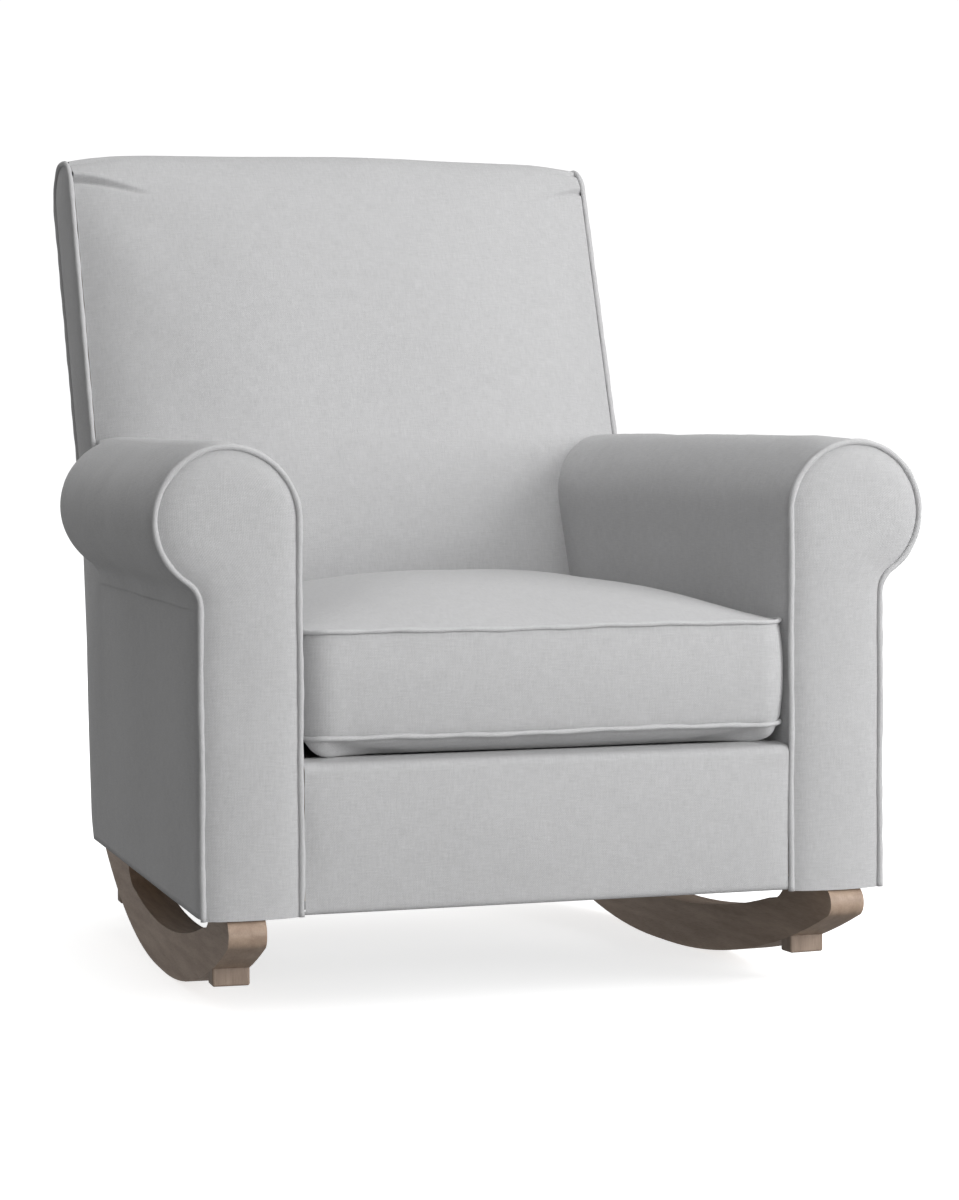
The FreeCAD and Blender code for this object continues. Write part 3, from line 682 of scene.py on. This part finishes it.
def back_cushion():
    """Front and top of the back in one cloth, full in the middle and drawn in at the side welts."""
    path = resample(back_path(0.0, 0.270), 900)
    rear = (path[:, 0] > front_y(BACK_TOP) + 0.05) & (path[:, 1] < REAR_TOP - 0.020)
    path = resample(path[:int(np.argmax(rear))], 128)
    s = np.linspace(-1, 1, 97)
    s = np.sin(s * math.pi / 2) * 0.28 + s * 0.72
    grid = np.zeros((97, 128, 3))
    grid[..., 0] = s[:, None] * BACK_HALF
    grid[..., 1] = path[None, :, 0]
    grid[..., 2] = path[None, :, 1]
    tangent = np.gradient(path, axis=0)
    tangent /= np.linalg.norm(tangent, axis=1, keepdims=True)
    normal = np.stack([-tangent[:, 1], tangent[:, 0]], 1)
    length = arc_lengths(path)
    turn = length[int(np.argmax(path[:, 1] > BACK_TOP - BACK_ROUND))]
    edge = (1 - np.abs(s)) * BACK_HALF
    roll = 0.56 * (1 - (1 - np.clip(edge / 0.085, 0, 1)) ** 2.5) \
        + 0.44 * (1 - (1 - np.clip(edge / 0.250, 0, 1)) ** 2.2)
    middle = 1 - np.abs(s) ** 2.2
    high = np.clip((path[:, 1] - 0.600) / 0.330, 0, 1)
    lift = np.where(length < turn * 1.06, 1 - high ** 3.6, 0)
    over = np.clip((length - turn * 0.93) / 0.06, 0, 1)
    fall = np.clip((length[-1] - length) / 0.05, 0, 1)
    crown = BACK_FULL * lift + 0.0120 * (1 - lift)
    height = roll[:, None] * crown[None, :] * (0.25 + 0.75 * fall[None, :]) \
        + middle[:, None] * (0.006 * lift + 0.003 * over)[None, :] * fall[None, :]
    height -= 0.001
    grid[..., 1] += height * normal[None, :, 0]
    grid[..., 2] += height * normal[None, :, 1]
    soft = ripple(grid, 0.17, 0.0035, 11.0) + ripple(grid, 0.05, 0.0007, 12.0)
    soft *= np.clip(edge / 0.06, 0, 1)[:, None]
    grid[..., 1] += soft * normal[None, :, 0]
    grid[..., 2] += soft * normal[None, :, 1]
    return grid, normal, length, turn, s


def pleat(grid, normal, length, s, side, start, reach, drop, depth, width):
    """Tuck that runs in from a side welt: a folded lip above a narrow groove."""
    inward = (1 - side * s) * BACK_HALF
    level = start - drop * (inward / reach) ** 1.3
    strength = np.clip(1 - inward / reach, 0, 1) ** 0.7 * (inward < reach)
    off = length[None, :] - level[:, None]
    lip = 0.45 * depth * np.exp(-((off - 2.3 * width) / (1.6 * width)) ** 2)
    groove = -depth * np.exp(-(off / width) ** 2) + lip
    push = groove * strength[:, None]
    grid[..., 1] += push * normal[None, :, 0]
    grid[..., 2] += push * normal[None, :, 1]


def softened(field, passes):
    """Average a grid of vectors with its neighbours, its rim held."""
    for _ in range(passes):
        field[1:-1] = (field[:-2] + 2 * field[1:-1] + field[2:]) / 4
        field[:, 1:-1] = (field[:, :-2] + 2 * field[:, 1:-1] + field[:, 2:]) / 4
    return field


grid, back_normal, back_length, back_turn, back_s = back_cushion()
across, along = grid.shape[:2]
blown = grid_object("back_blown", grid)
blown_pins = [i * along + j for i in range(across) for j in range(along)
              if i in (0, across - 1) or j in (0, along - 1)]
swell(blown, blown_pins, 1.2, 0.010)
shape = np.zeros(across * along * 3)
blown.data.vertices.foreach_get("co", shape)
bpy.data.objects.remove(blown)
shape = shape.reshape(across, along, 3)
shape[..., 1] += MID_Y
shape = grid + softened(shape - grid, 24)
# Finer rows along the height carry the folded tucks.
fine = np.linspace(0, along - 1, 3 * along)
rows = np.arange(along)
shape = np.stack([[np.interp(fine, rows, column[:, k]) for k in range(3)] for column in shape])
shape = shape.transpose(0, 2, 1)
shape = softened(shape.copy(), 4)
back_normal = np.stack([np.interp(fine, rows, back_normal[:, k]) for k in range(2)], 1)
back_length = np.interp(fine, rows, back_length)
for side, start, reach, drop, depth, width in (
        (-1, 0.017, 0.088, 0.026, 0.0105, 0.0030), (1, 0.010, 0.058, 0.016, 0.0048, 0.0030),
        (-1, 0.050, 0.055, 0.006, 0.0042, 0.0040), (1, 0.044, 0.045, 0.004, 0.0030, 0.0040)):
    pleat(shape, back_normal, back_length, back_s, side, back_turn + start, reach, drop, depth, width)
back_obj = grid_object("back_cover", shape)
smoother(back_obj)
finish_piece(back_obj, "chair", upholstery, "upholstery_fabric", "back_pad")

for tag, sign in sides:
    seed = 21.0 + sign
    path = back_path(0.0042, 0.500)
    peak = int(np.argmax(path[:, 1]))
    middle = np.argmin(np.abs(path[:, 0] - (path[peak, 0] + 0.040)) + (path[:, 1] < BACK_TOP - 0.02))
    front = resample(path[:middle + 1], 90)
    rear = resample(path[middle:][::-1], 90)
    solid, rise = ruled_panel(front, rear, lambda y, z: (BORDER_X - 0.0032, y, z), 0.0040, 14, seed)
    solid[..., 0] += rise
    border = grid_object("back_side_" + tag, sided(solid, sign), flip=(sign > 0))
    finish_piece(border, "chair", upholstery, "upholstery_fabric", "back_border_" + tag)
    line = resample(back_path(0.0018, 0.500), 210)
    path3 = np.stack([np.full(len(line), BORDER_X - 0.0030), line[:, 0], line[:, 1]], 1)
    welt = tube("back_piping_" + tag, sided(path3, sign), WELT_R, seed=seed)
    finish_piece(welt, "chair", piping_painted_highlight, "upholstery_fabric", "back_welt_" + tag)

# Rear cover: one plain panel, closed along both borders.
nz, nx = 110, 70
rear_line = resample(
    np.array([[REAR_LOW_Y, BASE_Z], [KINK_Y, KINK_Z], [float(rear_y(REAR_TOP)), REAR_TOP]]), nz)
rear_grid = np.zeros((nx, nz, 3))
for j, (y, z) in enumerate(rear_line):
    half = ARM_OUT - TAPER * y - 0.0010 if z < 0.508 else BACK_HALF + 0.002
    rear_grid[:, j] = np.stack([np.linspace(-half, half, nx), np.full(nx, y), np.full(nx, z)], 1)
side_gap = BACK_HALF - np.abs(rear_grid[..., 0])
near = np.clip(side_gap, 0, 1)
rear_grid[..., 1] += 0.003 * (1 - np.exp(-near / 0.03)) - 0.0035 * np.exp(-near / 0.006)
rear_grid[..., 1] += ripple(rear_grid, 0.2, 0.004, 31.0) * np.clip(side_gap / 0.08, 0, 1) \
    * np.clip((REAR_TOP - rear_grid[..., 2]) / 0.06, 0, 1)
rear_grid[..., 1] -= 0.0045 * np.exp(-(REAR_TOP - rear_grid[..., 2]) / 0.0035)
rear_cover = grid_object("rear_cover", rear_grid, flip=True)
finish_piece(rear_cover, "chair", upholstery, "upholstery_fabric", "outside_back")

# ---------------------------------------------------------------- front rail, deck, dust cover

rail_line = rounded_path(
    [(0.030, 0.1165), (0.0045, 0.1160), (0.0030, 0.2725), (0.034, 0.2755)], [0, 0.004, 0.009, 0])
rail_line = resample(rail_line, 60)
nx = 90
rail = np.zeros((nx, 60, 3))
rail[..., 0] = np.linspace(-0.2695, 0.2695, nx)[:, None]
rail[..., 1] = rail_line[None, :, 0]
rail[..., 2] = rail_line[None, :, 1]
mid = np.sin(np.clip((rail[..., 2] - 0.116) / 0.157, 0, 1) * math.pi) ** 0.8
ends = 1 - np.exp(-(0.2695 - np.abs(rail[..., 0])) / 0.012)
rail[..., 1] -= mid * (0.0045 * ends + ripple(rail, 0.12, 0.0016, 41.0))
front_cover = grid_object("front_rail_upholstery", rail)
finish_piece(front_cover, "chair", upholstery, "upholstery_fabric", "front_rail_cover")

nx, ny = 60, 60
deck = np.zeros((nx, ny, 3))
for j in range(ny):
    y = 0.031 + (0.586 - 0.031) * j / (ny - 1)
    half = ARM_IN - 0.0015 - TAPER * y
    deck[:, j] = np.stack([np.linspace(-half, half, nx), np.full(nx, y), np.full(nx, DECK_Z)], 1)
dip = (1 - (deck[..., 0] / 0.27) ** 2) * np.clip((deck[..., 1] - 0.03) / 0.1, 0, 1) \
    * np.clip((0.59 - deck[..., 1]) / 0.1, 0, 1)
deck[..., 2] -= 0.0045 * dip
deck[..., 2] += ripple(deck, 0.06, 0.0008, 51.0)
deck_obj = grid_object("deck_pad", deck, flip=False)
finish_piece(deck_obj, "chair", deck_cloth, "deck_cloth", "seat_deck")

nx, ny = 50, 60
dust = np.zeros((nx, ny, 3))
for j in range(ny):
    y = 0.036 + 0.600 * j / (ny - 1)
    half = 0.314 - (0.314 - 0.286) * j / (ny - 1)
    dust[:, j] = np.stack([np.linspace(-half, half, nx), np.full(nx, y), np.full(nx, DUST_Z)], 1)
hang = (1 - (dust[..., 0] / 0.315) ** 2) * np.sin(np.clip((dust[..., 1] - 0.036) / 0.6, 0, 1) * math.pi)
dust[..., 2] -= 0.004 * np.clip(hang, 0, 1)
dust[..., 2] += ripple(dust, 0.08, 0.0010, 61.0) * np.clip(hang, 0, 1)
dust_obj = grid_object("dust_cloth_under", dust, flip=True)
finish_piece(dust_obj, "chair", dust_cloth, "dust_cloth", "dust_cover")

# ---------------------------------------------------------------- seat cushion

def cushion_half(y):
    return ARM_IN - TAPER * y - 0.0015


def cushion_sides(z, grow, corner=0.030):
    """Four side curves of the cushion at one height, each from corner to corner."""
    front, rear = 0.003 - grow, 0.572 + 0.25 * (z - SEAM_LOW) + grow
    corners = [np.array(p) for p in (
        (-cushion_half(front) - grow, front), (cushion_half(front) + grow, front),
        (cushion_half(rear) + grow, rear), (-cushion_half(rear) - grow, rear))]
    loop = []
    for i in range(4):
        p, before, after = corners[i], corners[i - 1], corners[(i + 1) % 4]
        a = (before - p) / np.linalg.norm(before - p)
        b = (after - p) / np.linalg.norm(after - p)
        half = math.acos(a @ b) / 2
        centre = p + (a + b) / np.linalg.norm(a + b) * corner / math.sin(half)
        start, end = p + a * corner / math.tan(half) - centre, p + b * corner / math.tan(half) - centre
        part = []
        for k in range(13):
            d = start * (1 - k / 12) + end * k / 12
            part.append(centre + d / np.linalg.norm(d) * corner)
        loop.append(np.array(part))
    curves = []
    for i in range(4):
        j = (i + 1) % 4
        curves.append(np.concatenate([loop[i][6:], loop[j][:7]]))
    return curves


NX, NY, NW = 62, 66, 17
CROWN, UNDER_DEPTH, UNDER_ROLL = 0.041, 0.021, 0.026


def closer_ends(count):
    """Steps from 0 to 1 that shorten towards both ends."""
    t = np.linspace(0, 1, count)
    return 0.55 * t + 0.45 * (0.5 - 0.5 * np.cos(math.pi * t))


def spaced(points, steps):
    s = arc_lengths(points)
    t = steps * s[-1]
    return np.stack([np.interp(t, s, points[:, k]) for k in range(points.shape[1])], 1)


def cushion_ring(z, grow=0.0):
    front, right, rear, left = cushion_sides(z, grow)
    across, along = closer_ends(NX), closer_ends(NY)
    return (spaced(front, across), spaced(right, along),
            spaced(rear, across)[::-1], spaced(left, along)[::-1])


def coons(z):
    """Flat grid that fills the cushion's outline at one height."""
    front, right, rear, left = cushion_ring(z)
    u = closer_ends(NX)[:, None, None]
    v = closer_ends(NY)[None, :, None]
    grid = (1 - v) * front[:, None] + v * rear[:, None] + (1 - u) * left[None] + u * right[None]
    grid -= (1 - u) * (1 - v) * front[0] + u * (1 - v) * front[-1] + (1 - u) * v * rear[0] + u * v * rear[-1]
    return grid


def cushion_mesh(name):
    """Closed box cushion of three panels that share their seam points."""
    faces, uvs = [], []
    u = 2 * closer_ends(NX)[:, None] - 1
    v = 2 * closer_ends(NY)[None, :] - 1
    pillow = (1 - np.abs(u) ** 3.4) * (1 - np.abs(v) ** 3.2)
    edge = np.minimum((1 - np.abs(u)) * 0.26, (1 - np.abs(v)) * 0.285)
    under = 1 - (1 - np.clip(edge / UNDER_ROLL, 0, 1)) ** 2.3
    top = np.dstack([coons(SEAM_TOP), SEAM_TOP + CROWN * pillow]).reshape(-1, 3)
    low = np.dstack([coons(SEAM_LOW), SEAM_LOW - UNDER_DEPTH * under]).reshape(-1, 3)
    verts = np.concatenate([top, low]).tolist()
    offset = NX * NY
    order = [i * NY for i in range(NX)] + [(NX - 1) * NY + j for j in range(1, NY)] \
        + [i * NY + NY - 1 for i in range(NX - 2, -1, -1)] + [j for j in range(NY - 2, 0, -1)]
    count = len(order)
    for f in grid_faces(NX, NY):
        faces.append(f)
        uvs += [(top[i][0], top[i][1]) for i in f]
    for f in grid_faces(NX, NY, flip=True):
        faces.append([i + offset for i in f])
        uvs += [(low[i][0] + 1.0, low[i][1]) for i in f]
    ring_top, ring_low = top[order], low[order]
    columns = [[offset + i for i in order]]
    run = np.concatenate([[0], np.cumsum(np.linalg.norm(np.diff(ring_top, axis=0), axis=1))])
    out = np.roll(ring_top, -1, 0) - np.roll(ring_top, 1, 0)
    out = np.stack([out[:, 1], -out[:, 0], np.zeros(count)], 1)
    out /= np.linalg.norm(out, axis=1, keepdims=True)
    for k in range(1, NW):
        w = k / NW
        level = ring_low * (1 - w) + ring_top * w
        level = level + out * 0.005 * (1 - (2 * w - 1) ** 2)
        columns.append(list(range(len(verts), len(verts) + count)))
        verts += level.tolist()
    columns.append(order)
    for k in range(NW):
        for i in range(count):
            j = (i + 1) % count
            faces.append([columns[k][i], columns[k][j], columns[k + 1][j], columns[k + 1][i]])
            u0 = run[i]
            u1 = run[j] if j else run[-1] + (run[1] - run[0])
            v0, v1 = k / NW * 0.11 + 2.0, (k + 1) / NW * 0.11 + 2.0
            uvs += [(u0, v0), (u1, v0), (u1, v1), (u0, v1)]
    return new_object(name, verts, faces, uvs), order, columns[0]


cushion, seam_top_ids, seam_low_ids = cushion_mesh("seat_cushion_cover")
swell(cushion, seam_top_ids + seam_low_ids, 2.2, 0.013, stiff=10.0)
co = np.zeros(len(cushion.data.vertices) * 3)
cushion.data.vertices.foreach_get("co", co)
co = co.reshape(-1, 3)
seam_points = co[seam_top_ids]
low_points = co[seam_low_ids]


def pucker(points, seam, reach, height, seed):
    """Small gathers that fade away from a seam."""
    s = arc_lengths(seam)
    wave = np.sin(s * 210 + seed) * 0.5 + np.sin(s * 97 + seed * 3) * 0.8
    d = np.full(len(points), 9.0)
    near = np.zeros(len(points))
    for start in range(0, len(points), 2000):
        block = points[start:start + 2000]
        dist = np.linalg.norm(block[:, None] - seam[None], axis=2)
        k = dist.argmin(1)
        d[start:start + 2000] = dist[np.arange(len(block)), k]
        near[start:start + 2000] = wave[k]
    return near * height * np.exp(-(d / reach) ** 2) * (d > 0.001)


# The zip keeps the rear boxing flat.
zip_low, zip_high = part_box("cushion_zip")
ZIP_Z, ZIP_LEAN = (zip_low[2] + zip_high[2]) / 2, math.atan(0.25)
zip_y = (zip_low[1] + zip_high[1]) / 2 - 0.0007 + MID_Y


def zip_plane(z):
    return zip_y + (z - ZIP_Z) * math.tan(ZIP_LEAN)


spare = np.clip((np.abs(co[:, 0]) - 0.205) / 0.05, 0, 1) \
    + np.clip((np.abs(co[:, 2] - ZIP_Z) - 0.018) / 0.03, 0, 1)
behind = co[:, 1] > 0.45 - MID_Y
co[behind, 1] = np.minimum(co[behind, 1], (zip_plane(co[:, 2]) - MID_Y - 0.0006 + 0.016 * spare)[behind])

bump = pucker(co, seam_points, 0.016, 0.0006, 1.0) + pucker(co, low_points, 0.014, 0.0006, 2.0)
mesh_normals = np.array([v.normal for v in cushion.data.vertices])
co += mesh_normals * bump[:, None]
co[:, 2] += ripple(co[None], 0.12, 0.0022, 71.0)[0] * np.clip((co[:, 2] - SEAM_TOP) / 0.02, 0, 1)
inner = np.isin(np.arange(len(co)), seam_top_ids + seam_low_ids)
co[inner] -= mesh_normals[inner] * 0.0016
co[:, 2] = np.maximum(co[:, 2], 0.2752)
cushion.data.vertices.foreach_set("co", co.ravel())
cushion.data.update()
smoother(cushion)
finish_piece(cushion, "cushion", upholstery, "upholstery_fabric", "seat_cushion", "cushion_core")

for name, z, node_name in (("cushion_piping_top", SEAM_TOP, "cushion_welt_top"),
                           ("cushion_piping_bottom", SEAM_LOW, "cushion_welt_bottom")):
    front, right, rear, left = cushion_ring(z, 0.0002)
    ring = np.concatenate([front, right[1:], rear[::-1][1:], left[::-1][1:-1]])
    ring = resample(np.concatenate([ring, ring[:1]]), 420)[:-1]
    path3 = np.stack([ring[:, 0], ring[:, 1], np.full(len(ring), z)], 1)
    path3[:, 2] += 0.0007 * np.sin(np.arange(len(ring)) * 0.11) + 0.0004 * np.sin(np.arange(len(ring)) * 0.43)
    welt = tube(name, path3, 0.0026, closed=True)
    finish_piece(welt, "cushion", piping_painted_highlight, "upholstery_fabric", node_name)

# Zip sewn into the rear boxing: a woven tape and a chain of interlocked teeth.
zip_length = zip_high[0] - zip_low[0]
band = np.zeros((120, 15, 3))
band[..., 0] = np.linspace(-0.5, 0.5, 120)[:, None] * zip_length
reach = np.linspace(-0.0140, 0.0140, 15)
band[..., 2] = ZIP_Z + reach[None, :] * math.cos(ZIP_LEAN)
band[..., 1] = zip_plane(band[..., 2]) + 0.0009 + 0.0006 * np.exp(-(reach / 0.004) ** 2)[None, :]
band[:, [0, -1], 1] -= 0.0012
band[..., 1] += ripple(band, 0.03, 0.0005, 81.0)
tape = grid_object("zip_tape_band", band, flip=True)
finish_piece(tape, "cushion", tape_cloth, "zip_tape", "cushion_zip")

TOOTH_PITCH = 0.0028
tooth_verts, tooth_faces = [], []
outline = [(-0.5, 0.25), (-0.25, 0.5), (0.25, 0.5), (0.5, 0.25),
           (0.5, -0.25), (0.25, -0.5), (-0.25, -0.5), (-0.5, -0.25)]
for k in range(int(zip_length / TOOTH_PITCH * 2) - 6):
    x = -zip_length / 2 + 0.004 + k * TOOTH_PITCH / 2
    shift = 0.0008 if k % 2 else -0.0008
    first = len(tooth_verts)
    for depth, size in ((0.0010, 1.0), (0.0021, 1.0), (0.0025, 0.78)):
        for a, b in outline:
            z = ZIP_Z + shift + b * 0.0034 * size
            tooth_verts.append((x + a * 0.0013 * size, float(zip_plane(z)) + depth, z))
    for ring in (first, first + 8):
        for a in range(8):
            b = (a + 1) % 8
            tooth_faces.append([ring + a, ring + b, ring + b + 8, ring + a + 8])
    tooth_faces.append([first + 16 + a for a in range(8)])
teeth = new_object("zip_teeth", tooth_verts, tooth_faces, smooth=False)
finish_piece(teeth, "cushion", zip_metal, "zip_metal")

# ---------------------------------------------------------------- stage, light and camera

floor_mesh = bpy.data.meshes.new("studio_floor")
floor_mesh.from_pydata([(-14, -10, 0), (14, -10, 0), (14, 26, 0), (-14, 26, 0)], [], [(0, 1, 2, 3)])
floor = bpy.data.objects.new("studio_floor", floor_mesh)
bpy.context.collection.objects.link(floor)
pale, tree, bsdf = shader("pale_floor")
bsdf.inputs["Base Color"].default_value = (0.93, 0.93, 0.93, 1)
bsdf.inputs["Roughness"].default_value = 0.9
bsdf.inputs["Emission Color"].default_value = (1, 1, 1, 1)
away = tree.nodes.new("ShaderNodeVectorMath")
away.operation = "LENGTH"
tree.links.new(tree.nodes.new("ShaderNodeTexCoord").outputs["Object"], away.inputs[0])
tree.links.new(ramped(tree, away.outputs["Value"], 0.70, 1.0, 0.9, 4.0), bsdf.inputs["Emission Strength"])
floor_mesh.materials.append(pale)
floor.visible_diffuse = False
floor.visible_glossy = False


def softbox(name, place, target, width, height, power):
    data = bpy.data.lights.new(name, "AREA")
    data.shape = "RECTANGLE"
    data.size, data.size_y = width, height
    data.energy = power
    lamp = bpy.data.objects.new(name, data)
    bpy.context.collection.objects.link(lamp)
    lamp.location = place
    lamp.rotation_euler = (Vector(target) - Vector(place)).to_track_quat("-Z", "Y").to_euler()
    return lamp


softbox("key", (2.595, -2.595, 1.484), (0, 0, 0.5), 1.8, 1.8, 89)
softbox("front", (0.366, -4.181, 0.747), (0, 0, 0.5), 1.8, 1.8, 63)
softbox("top", (0.3, -0.4, 3.4), (0, 0, 0.4), 2.6, 2.6, 46)
softbox("rear", (-0.8, 4.2, 1.1), (0, 0, 0.5), 1.8, 1.8, 36)

world = bpy.data.worlds.new("studio")
bpy.context.scene.world = world
world.use_nodes = True
tree = world.node_tree
tree.nodes.clear()
sky_out = tree.nodes.new("ShaderNodeOutputWorld")
seen = tree.nodes.new("ShaderNodeBackground")
seen.inputs["Color"].default_value = (1, 1, 1, 1)
seen.inputs["Strength"].default_value = 1.05
lit = tree.nodes.new("ShaderNodeBackground")
lit.inputs["Color"].default_value = (1, 1, 1, 1)
lit.inputs["Strength"].default_value = 0.24
path_node = tree.nodes.new("ShaderNodeLightPath")
pick = tree.nodes.new("ShaderNodeMixShader")
tree.links.new(path_node.outputs["Is Camera Ray"], pick.inputs[0])
tree.links.new(lit.outputs[0], pick.inputs[1])
tree.links.new(seen.outputs[0], pick.inputs[2])
tree.links.new(pick.outputs[0], sky_out.inputs[0])
bpy.context.scene.view_settings.view_transform = "Standard"

# Camera: long lens, to the left of the chair and a little above the seat.
FOCAL_PX = 3376.6
yaw, pitch, roll = math.radians(18.276), math.radians(3.226), math.radians(-0.269)
data = bpy.data.cameras.new("camera")
data.sensor_width = 36.0
data.lens = FOCAL_PX / 1200 * 36.0
camera = bpy.data.objects.new("camera", data)
bpy.context.collection.objects.link(camera)
forward = Vector((math.sin(yaw) * math.cos(pitch), math.cos(yaw) * math.cos(pitch), -math.sin(pitch)))
right = Vector((math.cos(yaw), -math.sin(yaw), 0))
up = right.cross(forward)
right2 = math.cos(roll) * right + math.sin(roll) * up
up2 = right2.cross(forward)
camera.matrix_world = Matrix((
    (right2.x, up2.x, -forward.x, -1.1787),
    (right2.y, up2.y, -forward.y, -3.3240 - MID_Y),
    (right2.z, up2.z, -forward.z, 0.6345),
    (0, 0, 0, 1)))
bpy.context.scene.camera = camera
